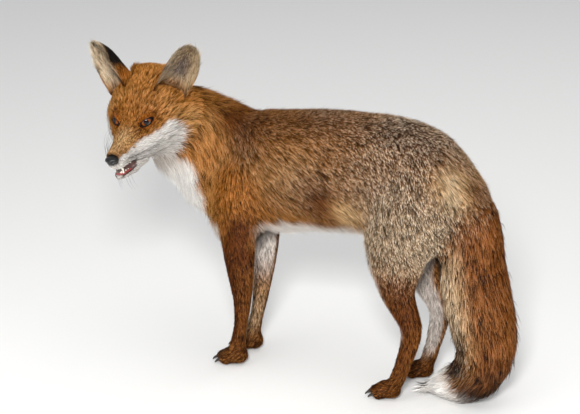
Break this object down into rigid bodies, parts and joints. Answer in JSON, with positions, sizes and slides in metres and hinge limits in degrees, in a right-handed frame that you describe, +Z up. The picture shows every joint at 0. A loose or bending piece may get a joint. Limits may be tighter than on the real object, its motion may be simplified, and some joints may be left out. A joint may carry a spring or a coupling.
{
  "type": "red fox figure",
  "caption": "Life-size red fox standing with its head turned to its left and its brush hanging to the floor.",
  "frame": {"origin": "on the floor, under the middle of the whole figure's box", "axes": "the fox's body points towards -Y, its left side is towards +X and +Z is up; its head is turned to +X"},
  "size_m": [0.2476, 0.6744, 0.4992],
  "materials": {
    "coat_rufous": "dense orange-red fox fur, lying flat",
    "coat_grizzled": "long guard hairs banded dark, buff and white over rufous underfur",
    "coat_brown": "short sleek brown leg fur",
    "coat_white": "soft white fur",
    "coat_black": "short velvety black fur",
    "eye": "wet amber eye with an upright pupil",
    "nose_leather": "damp pebbled black skin",
    "gum": "wet pink and dark lip skin",
    "tooth": "ivory enamel",
    "claw": "dark horn",
    "whisker": "stiff dark hairs"
  },
  "bodies": {
    "root": {"eye_left": "eye", "eye_right": "eye", "nose": "nose_leather", "head": "coat_rufous", "lower_jaw": "coat_white", "ear_left": "coat_black", "ear_right": "coat_black", "neck": "coat_rufous", "trunk": "coat_grizzled", "upper_arm_left": "coat_rufous", "forearm_left": "coat_brown", "forepaw_left": "coat_brown", "upper_arm_right": "coat_rufous", "forearm_right": "coat_brown", "forepaw_right": "coat_brown", "thigh_left": "coat_grizzled", "shank_left": "coat_brown", "hindfoot_left": "coat_brown", "thigh_right": "coat_grizzled", "shank_right": "coat_brown", "hindfoot_right": "coat_brown", "tail_base": "coat_rufous", "tail_middle": "coat_grizzled", "tail_tip": "coat_white"}
  },
  "joints": []
}
